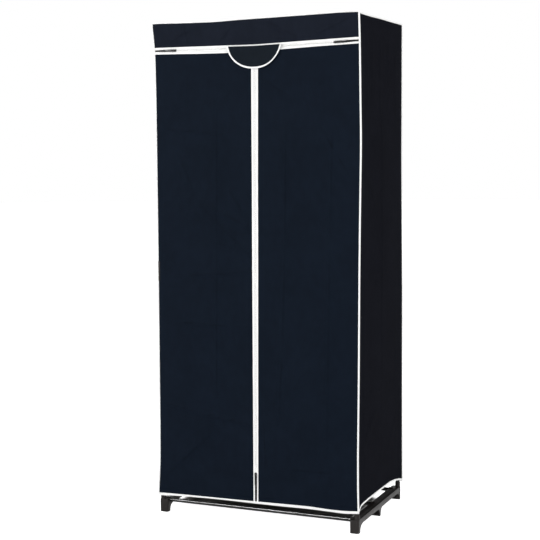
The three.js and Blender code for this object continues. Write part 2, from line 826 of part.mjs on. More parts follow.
export default wardrobe;
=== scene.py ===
# Portable fabric wardrobe: cloth cover with zips and a flap over a tube frame on moulded rails.
import math

import bmesh
import bpy
import numpy as np
from mathutils import Matrix, Vector


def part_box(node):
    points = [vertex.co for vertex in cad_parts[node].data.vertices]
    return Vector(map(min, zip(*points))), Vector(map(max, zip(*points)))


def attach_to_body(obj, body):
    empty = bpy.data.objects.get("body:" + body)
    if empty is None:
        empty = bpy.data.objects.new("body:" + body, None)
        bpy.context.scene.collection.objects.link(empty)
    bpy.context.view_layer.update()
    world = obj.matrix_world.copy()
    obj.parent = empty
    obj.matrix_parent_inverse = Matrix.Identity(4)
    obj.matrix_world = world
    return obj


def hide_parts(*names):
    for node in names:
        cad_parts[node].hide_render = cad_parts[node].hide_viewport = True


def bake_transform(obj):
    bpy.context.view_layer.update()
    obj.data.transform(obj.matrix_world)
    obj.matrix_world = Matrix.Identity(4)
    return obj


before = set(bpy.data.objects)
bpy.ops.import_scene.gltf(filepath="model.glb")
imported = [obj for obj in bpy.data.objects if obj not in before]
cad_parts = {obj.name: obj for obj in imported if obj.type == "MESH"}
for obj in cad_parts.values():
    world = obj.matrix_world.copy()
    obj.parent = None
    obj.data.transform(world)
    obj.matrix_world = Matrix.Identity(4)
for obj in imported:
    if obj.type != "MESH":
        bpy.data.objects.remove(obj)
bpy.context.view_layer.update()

# Lengths are millimetres up to the point where a mesh is made
MM = 0.001
SIDES = ((-1, "left"), (1, "right"))
FACES = {"front": (0, -1), "back": (0, 1), "left": (-1, 0), "right": (1, 0)}
OUTWARD = {face: np.array((side, end, 0.0)) for face, (side, end) in FACES.items()}
DETAIL = 1.0

# Cover, from seam to seam: half its width and depth, and the height of its top seam
HALF_W, HALF_D, SEAM_Z = 350.0, 225.0, 1597.0
# Cloth: thickness, how far its middle lies inside the seams, and how far from them it ends
CLOTH, PLANE, EDGE = 0.8, 0.6, 1.6
# Piping: its radius, and the number of its sides
PIPING, CORD_SIDES = 2.75, 16
# How far a panel stands out in its middle: doors, sides and back, valance; then the top's sag
BELLY, SIDE_BELLY, VALANCE_BELLY, TOP_SAG = 3.0, 2.2, 1.2, 4.0
# Length and height of the slow swells of hung cloth, of the top and of the flap
SWELL, TOP_SWELL, FLAP_RIPPLE = (260, 1.8), (210, 1.4), (90, 0.4)
# How far from a corner its shift is felt in a face, along the face and through it
CORNER_ALONG, CORNER_THROUGH = 160, 25
# Folds: how much higher they are than listed, and how soon they reach that beside a seam
FOLD_GAIN, FOLD_RISE = 1.7, 6
# Painted crease shade, dark lines down the foot of each fold: width on the front and on the sides, where
# they lie in a fold's width, how dark
CREASE_SHADE_LINE, SIDE_CREASE_SHADE_LINE, CREASE_FOOT, CREASE_SHADE_DEPTH, CREASE_SHADE_MOST = 2.6, 4.5, 0.8, 0.36, 0.6
CREASE_SEED, CREASE_MEAN, CREASE_SWELL = 21, 0.7, (70, 1.1)

# Hems: height at the middle of the front, at the back and at the front corners
HEM_MIDDLE, HEM_BACK = 60.0, 60.0
HEM_ENDS = {-1: 56.0, 1: 65.0}
FRONT_HEM_LIFT, CLOTH_ABOVE_HEM = 0.8, 1.3
# Folded bindings, of the hems and of the zips: width, half thickness, and how far their
# stitches lie from the open edge
HEM_BINDING, HEM_HALF, HEM_STITCH_INSET = 6.4, 1.55, 1.8
BINDING, BINDING_HALF, STITCH_INSET = 4.4, 1.25, 1.3
FRONT_HEM_BINDING = ([-325, -300, -240, -164, -92, -21, 49, 118, 186, 253, 294],
                     [8.8, 7.2, 6.4, 5.3, 5.6, 7.1, 8, 8.6, 8.6, 7.2, 8.6])
LIP, FOLD_POINTS = 0.5, 7
# How far from a corner seam the trim of the front ends
TRIM_END = 2.5

# Where the three zips meet, how far the level ones rise to each side, how far the upright leans
ZIP_X, ZIP_Z = 8.5, 1505.0
ZIP_RISE = {-1: 3.5, 1: 9.0}
ZIP_LEAN = 7.0
# Slots: half their width at the slider, at the outer end of a level one and at the foot of the
# upright one, and where they begin
SLOT_WIDE, SLOT_NARROW, SLOT_FOOT = 3.8, 2.3, 3.2
SLOT_X = {-1: 262.0, 1: 269.0}
SLOT_Z = 164.0
# Tape: half thickness, where it begins beside the opening, and its overlap with the binding
TAPE_HALF, TAPE_BEGIN, TAPE_UNDER, TAPE_LEAST = 0.45, 2.0, 1.2, 0.8
# Teeth and stitches: spacing, and length, width and height of one
TOOTH_PITCH, TOOTH, TOOTH_REACH = 1.6, (3.1, 1.3, 2.0), 1.37
STITCH_PITCH, STITCH, STITCH_LIFT = 3.8, (2.7, 0.55, 0.4), 0.05

# Flap: size, rise of its top above the zips, y of its seam, how its section leaves the seam
FLAP_WIDTH, FLAP_DROP, FLAP_RISE, FLAP_Y = 184.0, 67.5, 5, -225.8
FLAP_ROOT, FLAP_SHOULDER, FLAP_LIFT, FLAP_BOW = 5.8, 2.2, 5.3, 0.8
FLAP_HALF, FLAP_INSET = 1.1, 1.4
# Along the flap's round edge, from its left end to its right one: how far it stands out from
# a plain arc, and how wide its binding is
FLAP_SWELL = ([0, 0.15, 0.3, 0.42, 0.5, 0.72, 0.8, 0.9, 1],
              [0.8, 3.2, 2.8, 1.6, 1.2, 2.1, 1.1, 0.2, -0.4])
FLAP_BINDING = ([0, 0.12, 0.25, 0.42, 0.5, 0.6, 0.75, 0.88, 1],
                [6.2, 4.7, 5, 5.5, 5.7, 5, 4, 3.8, 5])

# Tubes: wall, radius of the rolled ends, sides. Rounding of base rails, other mouldings, hardware
TUBE_WALL, TUBE_ROLL, TUBE_SIDES = 0.8, 0.3, 40
RAIL_ROUNDING, MOULDING_ROUNDING, HARDWARE_ROUNDING = 1.2, 0.5, 0.3

# How far to each side of a place the tables are read, to soften their bends
SEAM_BLUR, TOP_BLUR, FRONT_HEM_BLUR, SIDE_HEM_BLUR = 28, 14, 12, 9
BAND_BLUR, UPRIGHT_BLUR, FLAP_BLUR = 10, 30, 0.05


def eased(place, table, blur):
    """A table of places and values, read round a place so that its bends are soft"""
    spread = np.linspace(-blur, blur, 9)
    return np.interp(np.asarray(place, float)[..., None] + spread, *table).mean(axis=-1)


# How far each corner seam stands in from its nominal line, by height.
# The last number is the share of it that also moves the seam in along y.
SEAMS = {
    (-1, -1): ([72, 99, 174, 300, 480, 870, 1350, 1487, 1538, 1588],
               [-0.5, 1.5, 4.2, 5.3, 5.6, 6.7, 6.9, 6, 3.9, -0.4], 1),
    (1, -1): ([72, 130, 235, 485, 793, 976, 1217, 1336, 1497, 1580, 1597],
              [2, 3.5, 3.9, 1, -1, -2.9, -6.5, -4.8, -3, -1, 0], 0),
    (1, 1): ([72, 411, 684, 820, 1150, 1590], [-0.9, 0.2, 0.2, 1, 3.3, 3], 1),
    (-1, 1): ([72, 400, 800, 1200, 1590], [0, 1.5, 3.6, 2, 1], 1),
}
# Rise and fall of the top seam along each face
TOPS = {
    "front": ([-350, -320, -213, -125, -40, 95, 161, 290, 325, 350],
              [-0.5, -0.5, -3, -4, -1.4, 0.8, 2, 4.4, 4, 3.1]),
    "right": ([-225, -200, -121, -22, 82, 190, 225], [0.6, -0.1, 0.1, 2.3, 2.8, 4.2, 4.8]),
    "back": ([-350, 0, 350], [1, -2, 4.8]),
    "left": ([-225, 0, 225], [-0.5, 1, 1]),
}
# Height of the hems along the front and the sides
FRONT_HEM = ([-350, -325, -300, -240, -164, -92, -21, 49, 118, 186, 253, 294, 320, 350],
             [54.8, 55.2, 57.6, 59.5, 61.4, 61.8, 61.2, 61.4, 61.8, 62.7, 61.3, 60.0, 61.3, 64])
SIDE_HEM = ([-225, -209, -184, -135, -22, 90, 144, 194, 225],
            [62, 81.6, 85, 86.6, 86.6, 85.4, 79.6, 70.6, 62])
# How far the white trim reaches above and below the level zips, and beside the upright one
BAND_UP = ([-346, 346], [10.2, 10.4])
BAND_DOWN = ([-346, -322, -179, -110, 127, 225, 346], [10.6, 10.8, 12.7, 13.1, 9.8, 9, 9.1])
BAND_MIDDLE = ([60, 204, 334, 591, 845, 1096, 1345, 1500], [8.3, 8.5, 8.9, 9.5, 10.2, 10.4, 11.4, 11.7])


def seam(side, end, z):
    places, inwards, turn = SEAMS[side, end]
    shift = eased(z, (places, inwards), SEAM_BLUR)
    return side * (HALF_W - shift), end * (HALF_D - turn * shift)


def wall(face, along, z, out=0.0):
    """A point of the cover: along a face, at a height, and out from the middle of its cloth"""
    side, end = FACES[face]
    half, reach = (HALF_W, HALF_D) if end else (HALF_D, HALF_W)
    along, z = (np.array(each, float) for each in np.broadcast_arrays(along, z))
    place = along.copy()
    depth = np.full(along.shape, reach - PLANE) + out
    for edge in (-1, 1):
        corner = seam(edge, end, z) if end else seam(side, edge, z)
        across, deep = corner if end else corner[::-1]
        away = np.clip(half - edge * along, 0, None)
        place -= edge * (half - edge * across) * np.clip(1 - away / CORNER_ALONG, 0, 1) ** 2
        depth -= (reach - np.abs(deep)) * np.exp(-away / CORNER_THROUGH)
    return np.stack([place, end * depth, z] if end else [side * depth, place, z], axis=-1)


def zip_level(x):
    beyond = np.asarray(x, float) - ZIP_X
    left = -ZIP_RISE[-1] * beyond / (HALF_W + ZIP_X)
    right = ZIP_RISE[1] * beyond / (HALF_W - ZIP_X)
    return ZIP_Z + np.where(beyond < 0, left, right)


def zip_middle(z):
    return ZIP_X - ZIP_LEAN * (ZIP_Z - np.asarray(z, float)) / (ZIP_Z - HEM_MIDDLE)


def front_hem(x):
    return eased(x, FRONT_HEM, FRONT_HEM_BLUR)


def side_hem(y):
    return eased(y, SIDE_HEM, SIDE_HEM_BLUR)


def fold(x, z, start, end, height, width):
    """A straight soft fold that dies out at both ends"""
    (x0, z0), (x1, z1) = start, end
    length = math.hypot(x1 - x0, z1 - z0)
    along = ((x - x0) * (x1 - x0) + (z - z0) * (z1 - z0)) / length ** 2
    off = ((x - x0) * (z1 - z0) - (z - z0) * (x1 - x0)) / length
    fade = np.clip(1 - np.abs(2 * along - 1) ** 3, 0, 1)
    return height * np.exp(-(off / width) ** 2) * fade


def waves(a, b, seed, size, height):
    """Slow uneven swells from a few crossing waves"""
    chance = np.random.default_rng(seed)
    count = 7
    total = 0
    for _ in range(count):
        turn = chance.uniform(0, math.pi)
        length = size * chance.uniform(0.6, 1.7)
        phase = chance.uniform(0, 6.28)
        across = a * math.cos(turn) + b * math.sin(turn)
        total = total + np.sin(2 * math.pi * across / length + phase)
    return height * total / count


# Folds of the front, the sides and the valance: start and end, height, width
FRONT_FOLDS = (
    ((-126, 1375), (-131, 896), 0.9, 5), ((-131, 900), (-137, 370), 0.9, 5),
    ((-274, 1195), (-199, 1020), 1.6, 12), ((-199, 1030), (-14, 945), 1.8, 13),
    ((-93, 1075), (-14, 945), 1.4, 10), ((-199, 1025), (-12, 847), 1.5, 12),
    ((-330, 1263), (-95, 1237), 1.0, 6), ((-235, 790), (-14, 805), 1.0, 6),
    ((-296, 638), (-16, 628), 0.9, 6), ((-332, 369), (-196, 342), 1.7, 7),
    ((-200, 343), (-14, 316), 1.6, 7), ((-330, 125), (-160, 280), 1.5, 12),
    ((109, 1260), (104, 896), 0.9, 5), ((104, 905), (93, 555), 0.8, 5),
    ((93, 565), (77, 315), 0.8, 5), ((261, 1255), (252, 900), 0.9, 5),
    ((252, 908), (241, 205), 0.8, 5),
    ((108, 183), (264, 186), 1.1, 6), ((28, 1405), (122, 1350), 1.1, 12),
    ((212, 1260), (326, 1070), 1.5, 18), ((30, 170), (24, 335), -1.4, 7),
)
SIDE_FOLDS = (
    ((-150, 1592), (-143, 1290), 0.4, 9), ((-92, 1592), (-97, 1330), 0.3, 8),
    ((-20, 1592), (-14, 1250), 0.5, 10), ((66, 1592), (60, 1300), 0.4, 9),
    ((138, 1592), (146, 1240), 0.5, 10), ((-205, 1150), (-60, 1010), 0.8, 14),
    ((-2, 1500), (2, 160), 0.5, 5), ((-205, 250), (-40, 380), 0.8, 14),
    ((190, 330), (40, 190), 0.7, 14), ((-215, 800), (215, 803), 0.5, 6),
    ((-215, 420), (215, 424), 0.4, 6), ((-215, 1195), (215, 1190), 0.4, 6),
)
VALANCE_FOLDS = (
    ((-300, 1528), (-180, 1590), 1.5, 9), ((-120, 1524), (-60, 1588), 1.3, 8),
    ((40, 1586), (150, 1530), 1.4, 9), ((190, 1528), (320, 1586), 1.6, 9),
    ((-240, 1590), (-225, 1520), 1.2, 6),
)


def relief(u, v, a, z, folds, belly, seed):
    """How far a hung panel stands out: flat along its edges, with folds and swells between them"""
    bow = np.sin(math.pi * np.clip(u, 0, 1)) * np.sin(math.pi * np.clip(v, 0, 1))
    height = belly * bow + waves(a, z, seed, *SWELL) * np.sqrt(bow)
    creases = sum(fold(a, z, *each) for each in folds)
    return height + FOLD_GAIN * creases * np.clip(FOLD_RISE * bow, 0, 1)


def painted_crease_shade(a, z, folds, line=CREASE_SHADE_LINE):
    """How much painted shade darkens the cloth, 0 to 1: a narrow line down the foot of each fold, where
    a crease would fall in shade
    """
    uneven = CREASE_MEAN + waves(a, z, CREASE_SEED, *CREASE_SWELL)
    lines = sum(fold(a - CREASE_FOOT * width, z, start, end, CREASE_SHADE_DEPTH * min(abs(height), 1), line)
                for start, end, height, width in folds)
    return np.clip(uneven * lines, 0, CREASE_SHADE_MOST)


# Materials
def add(tree, kind, inputs=None, **settings):
    node = tree.nodes.new("ShaderNode" + kind)
    for key, value in settings.items():
        setattr(node, key, value)
    for key, value in (inputs or {}).items():
        if isinstance(value, bpy.types.NodeSocket):
            tree.links.new(value, node.inputs[key])
        else:
            node.inputs[key].default_value = value
    return node


def calc(tree, operation, *values):
    return add(tree, "Math", dict(enumerate(values)), operation=operation).outputs[0]


def spread(tree, value, low, high, to_low=0.0, to_high=1.0):
    """Carries a range of a value smoothly onto another"""
    return add(tree, "MapRange", {
        "Value": value, "From Min": low, "From Max": high, "To Min": to_low, "To Max": to_high},
        interpolation_type="SMOOTHSTEP").outputs[0]


def noise(tree, where, scale, detail=2.0, stretch=(1, 1, 1)):
    moved = add(tree, "Mapping", {"Vector": where, "Scale": stretch}).outputs[0]
    return add(tree, "TexNoise", {"Vector": moved, "Scale": scale, "Detail": detail}).outputs[0]


def blended(tree, factor, low, high):
    mix = add(tree, "Mix", {"Factor": factor}, data_type="RGBA")
    for socket, value in ((mix.inputs[6], low), (mix.inputs[7], high)):
        if isinstance(value, bpy.types.NodeSocket):
            tree.links.new(value, socket)
        else:
            socket.default_value = (*value, 1)
    return mix.outputs[2]


def new_material(name, on_cloth=True):
    """A material, its tree, its main shader, and places on the surface in metres"""
    made = bpy.data.materials.new(name)
    made.use_nodes = True
    tree = made.node_tree
    shader = tree.nodes["Principled BSDF"]
    if on_cloth:
        where = add(tree, "UVMap", uv_map="cloth").outputs[0]
    else:
        where = add(tree, "TexCoord").outputs["Object"]
    return made, tree, shader, where


def finish_material(tree, shader, colour, roughness, height, distance, strength=1.0):
    tree.links.new(colour, shader.inputs["Base Color"])
    tree.links.new(roughness, shader.inputs["Roughness"])
    bump = add(tree, "Bump", {"Height": height, "Distance": distance, "Strength": strength})
    tree.links.new(bump.outputs[0], shader.inputs["Normal"])


def shade(colour, share):
    return tuple(each * share for each in colour)


def cloth_material(name, colour, specular=0.014):
    """Spunbonded cloth: pressed points in a diamond grid over matted fibres"""
    made, tree, shader, where = new_material(name)
    split = add(tree, "SeparateXYZ", {"Vector": where})
    across = calc(tree, "MULTIPLY", split.outputs[0], 2 * math.pi / 0.0015)
    along = calc(tree, "MULTIPLY", split.outputs[1], 2 * math.pi / 0.0011)
    points = calc(tree, "MULTIPLY", calc(tree, "COSINE", across), calc(tree, "COSINE", along))
    pressed = spread(tree, points, 0.35, 0.75)
    fibres = noise(tree, where, 900, 3, (1, 0.35, 1))
    strands = noise(tree, where, 620, 2, (0.3, 1, 1))
    patches = noise(tree, where, 7, 4)
    clouds = noise(tree, where, 45, 3, (1, 0.6, 1))
    worn = spread(tree, noise(tree, where, 16, 5), 0.56, 0.8)
    tone = calc(tree, "ADD", calc(tree, "MULTIPLY", patches, 0.55), calc(tree, "MULTIPLY", clouds, 0.45))
    base = blended(tree, spread(tree, tone, 0.3, 0.7), shade(colour, 0.86), shade(colour, 1.13))
    base = blended(tree, spread(tree, fibres, 0.42, 0.75, 0, 0.5), base, shade(colour, 1.35))
    base = blended(tree, calc(tree, "MULTIPLY", pressed, 0.35), base, shade(colour, 0.7))
    base = blended(tree, calc(tree, "MULTIPLY", worn, 0.12), base, shade(colour, 1.9))
    # Painted shade: the colour darkens along the crease lines, where folds would fall in shade
    crease_shade = add(tree, "Attribute", attribute_name="crease_shade").outputs["Fac"]
    base = blended(tree, crease_shade, base, shade(colour, 0.4))
    rough = spread(tree, fibres, 0.3, 0.7, 0.82, 0.95)
    rough = calc(tree, "SUBTRACT", rough, calc(tree, "MULTIPLY", pressed, 0.14))
    fuzz = calc(tree, "ADD", calc(tree, "MULTIPLY", fibres, 0.5), calc(tree, "MULTIPLY", strands, 0.4))
    height = calc(tree, "SUBTRACT", fuzz, calc(tree, "MULTIPLY", pressed, 0.7))
    finish_material(tree, shader, base, rough, height, 0.00012, 0.8)
    shader.inputs["Specular IOR Level"].default_value = specular
    return made


def binding_material(name, colour, pitch, crossed):
    """Woven trim: ribs across its length, crossed by finer yarns"""
    made, tree, shader, where = new_material(name)
    split = add(tree, "SeparateXYZ", {"Vector": where})
    along = calc(tree, "MULTIPLY", split.outputs[0], 2 * math.pi / pitch)
    across = calc(tree, "MULTIPLY", split.outputs[1], 2 * math.pi / (pitch * 1.4))
    if crossed:
        zigzag = calc(tree, "PINGPONG", split.outputs[1], 0.0014)
        along = calc(tree, "ADD", along, calc(tree, "MULTIPLY", zigzag, 2 * math.pi / pitch))
    ribs = calc(tree, "COSINE", along)
    yarns = calc(tree, "COSINE", across)
    soil = noise(tree, where, 28, 4)
    fuzz = noise(tree, where, 1400, 2)
    base = blended(tree, spread(tree, ribs, -1, 0.2), shade(colour, 0.93), colour)
    soiled = tuple(np.multiply(colour, (0.95, 0.94, 0.91)))
    base = blended(tree, spread(tree, soil, 0.5, 0.8, 0, 0.5), base, soiled)
    base = blended(tree, spread(tree, fuzz, 0.5, 0.8, 0, 0.35), base, shade(colour, 0.95))
    rough = spread(tree, soil, 0.3, 0.7, 0.74, 0.9)
    height = calc(tree, "ADD", ribs, calc(tree, "MULTIPLY", yarns, 0.4))
    height = calc(tree, "ADD", height, calc(tree, "MULTIPLY", fuzz, 0.8))
    finish_material(tree, shader, base, rough, height, 0.00006)
    shader.inputs["Specular IOR Level"].default_value = 0.2
    return made


def hard_material(name, colour, light, rough, grain, relief_depth, specular):
    """Moulded, coated or enamelled surface with fine grain, scuffs and dust"""
    made, tree, shader, where = new_material(name, on_cloth=False)
    fine = noise(tree, where, grain, 3)
    patches = noise(tree, where, 22, 4)
    scuffs = spread(tree, noise(tree, where, 150, 5, (1, 0.12, 1)), 0.6, 0.78)
    edge = spread(tree, add(tree, "NewGeometry").outputs["Pointiness"], 0.52, 0.6)
    base = blended(tree, spread(tree, patches, 0.3, 0.7), shade(colour, 0.85), shade(colour, 1.2))
    base = blended(tree, calc(tree, "MULTIPLY", scuffs, 0.35), base, light)
    base = blended(tree, calc(tree, "MULTIPLY", edge, 0.3), base, light)
    roughness = calc(tree, "ADD", spread(tree, patches, 0.3, 0.7, rough - 0.05, rough + 0.05),
                     calc(tree, "MULTIPLY", scuffs, 0.12))
    finish_material(tree, shader, base, roughness, fine, relief_depth)
    shader.inputs["Specular IOR Level"].default_value = specular
    return made


def fibre_material(name, colour, rough):
    """Thread and coil: smooth yarn with a fine twist"""
    made, tree, shader, where = new_material(name)
    twist = noise(tree, where, 2200, 2, (1, 4, 1))
    soil = noise(tree, where, 60, 3)
    base = blended(tree, spread(tree, twist, 0.35, 0.65), shade(colour, 0.93), colour)
    base = blended(tree, spread(tree, soil, 0.5, 0.8, 0, 0.4), base, shade(colour, 0.92))
    roughness = spread(tree, soil, 0.3, 0.7, rough - 0.05, rough + 0.08)
    finish_material(tree, shader, base, roughness, twist, 0.00004)
    return made


# One navy cloth in four copies. The valance and flap copies are painted lighter, and the side copy is
# painted darker and greyer: painted light and shade for how the lamps fall on them. The back and top use
# the front's colour.
FRONT_CLOTH = cloth_material("front_cloth", (0.0047, 0.0081, 0.0149))
VALANCE_CLOTH_PAINTED_LIGHT = cloth_material("valance_cloth", (0.0084, 0.0111, 0.0184))
SIDE_CLOTH_PAINTED_SHADE = cloth_material("side_cloth_painted_shade", (0.0054, 0.0059, 0.0086), 0.006)
FLAP_CLOTH_PAINTED_LIGHT = cloth_material("flap_cloth", (0.0076, 0.0110, 0.0156))
TRIM = binding_material("white_trim", (0.96, 0.96, 0.955), 0.0009, False)
TAPE = binding_material("zip_tape_weave", (0.83, 0.827, 0.815), 0.0007, True)
COIL = fibre_material("zip_coil", (0.86, 0.86, 0.845), 0.5)
THREAD = fibre_material("sewing_thread", (0.88, 0.88, 0.87), 0.6)
PLASTIC = hard_material(
    "moulded_plastic", (0.017, 0.0148, 0.0143), (0.05, 0.044, 0.041), 0.42, 1600, 0.00006, 0.09)
STEEL = hard_material(
    "powder_coat", (0.004, 0.004, 0.004), (0.03, 0.03, 0.03), 0.16, 700, 0.00001, 0.16)
ENAMEL = hard_material(
    "black_enamel", (0.004, 0.004, 0.004), (0.05, 0.05, 0.05), 0.25, 900, 0.00002, 0.2)


# Mesh helpers
def closed_mesh(name, points, faces, loop_uv, material, angle=40):
    mesh = bpy.data.meshes.new(name)
    mesh.from_pydata((np.asarray(points).reshape(-1, 3) * MM).tolist(), [], faces)
    layer = mesh.uv_layers.new(name="cloth")
    layer.data.foreach_set("uv", (np.asarray(loop_uv, float).reshape(-1, 2) * MM).ravel())
    work = bmesh.new()
    work.from_mesh(mesh)
    if work.calc_volume(signed=True) < 0:
        bmesh.ops.reverse_faces(work, faces=work.faces[:])
        work.to_mesh(mesh)
    work.free()
    mesh.polygons.foreach_set("use_smooth", [True] * len(mesh.polygons))
    mesh.set_sharp_from_angle(angle=math.radians(angle))
    mesh.materials.append(material)
    piece = bpy.data.objects.new(name, mesh)
    bpy.context.collection.objects.link(piece)
    return piece


def run_length(points, axis):
    steps = np.linalg.norm(np.diff(points, axis=axis), axis=-1)
    start = np.zeros_like(np.take(steps, [0], axis=axis))
    return np.concatenate([start, np.cumsum(steps, axis=axis)], axis=axis)


def unit(vectors):
    return vectors / np.linalg.norm(vectors, axis=-1, keepdims=True)


def cloth_panel(name, middle, outward, material, crease_shade=None):
    """A closed sheet of even thickness about a grid of points, with how much painted crease shade it has
    at each
    """
    rows, columns = middle.shape[:2]
    normal = unit(np.cross(np.gradient(middle, axis=1), np.gradient(middle, axis=0)))
    if (normal @ np.array(outward, float)).sum() < 0:
        normal = -normal
    points = np.concatenate([(middle + way * normal * CLOTH / 2).reshape(-1, 3) for way in (1, -1)])
    count = rows * columns
    index = np.arange(count).reshape(rows, columns)
    front = np.stack([index[:-1, :-1], index[:-1, 1:], index[1:, 1:], index[1:, :-1]], -1).reshape(-1, 4)
    rim = np.concatenate([index[0], index[1:, -1], index[-1, -2::-1], index[-2:0:-1, 0]])
    after = np.roll(rim, -1)
    edge = np.stack([rim, rim + count, after + count, after], -1)
    faces = np.concatenate([front, front[:, ::-1] + count, edge])
    uv = np.stack([run_length(middle, 1), run_length(middle, 0)], -1).reshape(-1, 2)
    piece = closed_mesh(name, points, faces.tolist(), np.concatenate([uv, uv])[faces], material)
    layer = piece.data.attributes.new("crease_shade", "FLOAT", "POINT")
    layer.data.foreach_set("value", np.tile(np.zeros(count) if crease_shade is None else crease_shade.ravel(), 2))
    return piece


def bar(name, path, across, out, section, material, closed=False):
    """Carries a section of (across, out) pairs along a path; it may differ from station to station"""
    section = np.broadcast_to(section, (len(path),) + np.shape(section)[-2:])
    across, out = np.broadcast_to(across, path.shape), np.broadcast_to(out, path.shape)
    points = path[:, None] + across[:, None] * section[..., :1] + out[:, None] * section[..., 1:]
    stations, count = points.shape[:2]
    index = np.arange(stations * count).reshape(stations, count)
    along = run_length(path, 0)
    girth = np.concatenate([run_length(section[0], 0), [0]])
    girth[-1] = girth[-2] + np.linalg.norm(section[0][0] - section[0][-1])
    if closed:
        index = np.concatenate([index, index[:1]])
        along = np.concatenate([along, along[-1:] + np.linalg.norm(path[0] - path[-1])])
    beside = np.roll(index, -1, axis=1)
    quads = np.stack([index[:-1], beside[:-1], beside[1:], index[1:]], -1)
    at = np.broadcast_to(along[:, None], index.shape)
    low, high = np.broadcast_to(girth[:-1], index.shape), np.broadcast_to(girth[1:], index.shape)
    uv = np.stack([
        np.stack([at[:-1], at[:-1], at[1:], at[1:]], -1),
        np.stack([low[:-1], high[:-1], high[1:], low[1:]], -1)], -1).reshape(-1, 2)
    faces = quads.reshape(-1, 4).tolist()
    if not closed:
        faces += [index[0, ::-1].tolist(), index[-1].tolist()]
        uv = np.concatenate([uv, section[0][::-1], section[-1]])
    return closed_mesh(name, points, faces, uv, material)


def folded(low, high, half=BINDING_HALF):
    """Outline of a strip folded over an edge: round at the fold and thin at its open edges"""
    turn = np.linspace(math.pi / 2, 1.5 * math.pi, FOLD_POINTS)
    low, high = np.atleast_1d(low).astype(float), np.atleast_1d(high).astype(float)
    bend = np.broadcast_to(half * np.sin(turn), (len(low), FOLD_POINTS))
    arc = np.stack([low[:, None] + half * (1 + np.cos(turn)), bend], -1)
    flat = np.ones_like(high)
    tail = np.stack([
        np.stack([high - LIP, -half * flat], -1), np.stack([high, (-half + LIP) * flat], -1),
        np.stack([high, (half - LIP) * flat], -1), np.stack([high - LIP, half * flat], -1)], 1)
    return np.concatenate([arc, np.broadcast_to(tail, (len(arc), 4, 2))], axis=1)


def rope(name, path, up, closed=False):
    """Piping along a path, with rounded ends where it is open"""
    tangent = unit(np.roll(path, -1, 0) - np.roll(path, 1, 0) if closed else np.gradient(path, axis=0))
    across = unit(np.cross(up, tangent))
    turn = np.arange(CORD_SIDES) * 2 * math.pi / CORD_SIDES
    size = np.full(len(path), PIPING)
    if not closed:
        size[[0, -1]] *= 0.45
        size[[1, -2]] *= 0.86
    circle = np.stack([np.cos(turn), np.sin(turn)], -1) * size[:, None, None]
    return bar(name, path, across, np.cross(tangent, across), circle, TRIM, closed)


def beads(name, centres, along, across, size, material):
    """Many small rounded blocks: size is their length, width and height"""
    along, across = np.broadcast_to(along, centres.shape), np.broadcast_to(across, centres.shape)
    out = np.cross(along, across)
    rings = np.array([[-0.5, 0.5], [-0.3, 1], [0.3, 1], [0.5, 0.5]])
    turn = np.arange(6) * math.pi / 3
    unit_points = np.array([
        [at, wide * math.cos(t) / 2, wide * math.sin(t) / 2] for at, wide in rings for t in turn])
    faces = []
    for ring in range(3):
        for k in range(6):
            a, b = ring * 6 + k, ring * 6 + (k + 1) % 6
            faces.append([a, b, b + 6, a + 6])
    caps = [[5, 4, 3, 2, 1, 0], [18, 19, 20, 21, 22, 23]]
    directions = np.stack([along * size[0], across * size[1], out * size[2]], axis=1)
    points = centres[:, None] + np.einsum("vk,nkc->nvc", unit_points, directions)
    steps = np.arange(len(centres))[:, None, None] * len(unit_points)
    quads = (np.array(faces) + steps).reshape(-1, 4)
    ends = (np.array(caps) + steps).reshape(-1, 6)
    order = np.concatenate([quads.ravel(), ends.ravel()])
    local = unit_points[:, :2] * size[0]
    place = np.arange(len(centres))[:, None] * size[0] * 1.5
    uv = (local + np.concatenate([place, 0 * place], 1)[:, None]).reshape(-1, 2)
    return closed_mesh(name, points, quads.tolist() + ends.tolist(), uv[order], material, 75)


def spaced(path, pitch, start=0.0):
    """Points at even steps along a path, and the way it runs at each"""
    along = run_length(path, 0)
    at = np.arange(pitch * (0.5 + start), along[-1] - pitch * 0.4, pitch)
    points = np.stack([np.interp(at, along, path[:, k]) for k in range(3)], -1)
    ahead = np.stack([np.interp(at + 0.5, along, path[:, k]) for k in range(3)], -1)
    behind = np.stack([np.interp(at - 0.5, along, path[:, k]) for k in range(3)], -1)
    return at, points, unit(ahead - behind)


def stitches(name, path, out):
    """A row of stitches on a surface, along a path that lies on it"""
    _, points, way = spaced(path, STITCH_PITCH)
    out = np.broadcast_to(np.array(out, float), points.shape)
    return beads(name, points + out * STITCH_LIFT, way, np.cross(out, way), STITCH, THREAD)


def bevelled(node, width, material, name):
    """A copy of a hard solid with its sharp edges rounded off"""
    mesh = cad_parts[node].data.copy()
    mesh.name = name
    mesh.materials.clear()
    mesh.materials.append(material)
    work = bmesh.new()
    work.from_mesh(mesh)
    bmesh.ops.remove_doubles(work, verts=work.verts[:], dist=1e-6)
    bmesh.ops.dissolve_limit(
        work, angle_limit=math.radians(1), verts=work.verts[:], edges=work.edges[:])
    sharp = [edge for edge in work.edges
             if len(edge.link_faces) == 2 and edge.calc_face_angle(0) > math.radians(32)]
    bmesh.ops.bevel(
        work, geom=sharp, offset=width * MM, segments=2, profile=0.6, affect="EDGES", clamp_overlap=True)
    for face in work.faces:
        face.smooth = True
    work.to_mesh(mesh)
    work.free()
    mesh.set_sharp_from_angle(angle=math.radians(38))
    piece = bpy.data.objects.new(name, mesh)
    bpy.context.collection.objects.link(piece)
    return piece


def stand_for(nodes):
    if nodes:
        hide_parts(*nodes)


def place_on(piece, body, slot, *nodes):
    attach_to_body(piece, body)
    stand_for(nodes)


def hinged(piece, side, slot, *nodes):
    """Cloth of a door: its place is baked into its mesh, and the solids it stands for are hidden"""
    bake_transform(piece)
    stand_for(nodes)


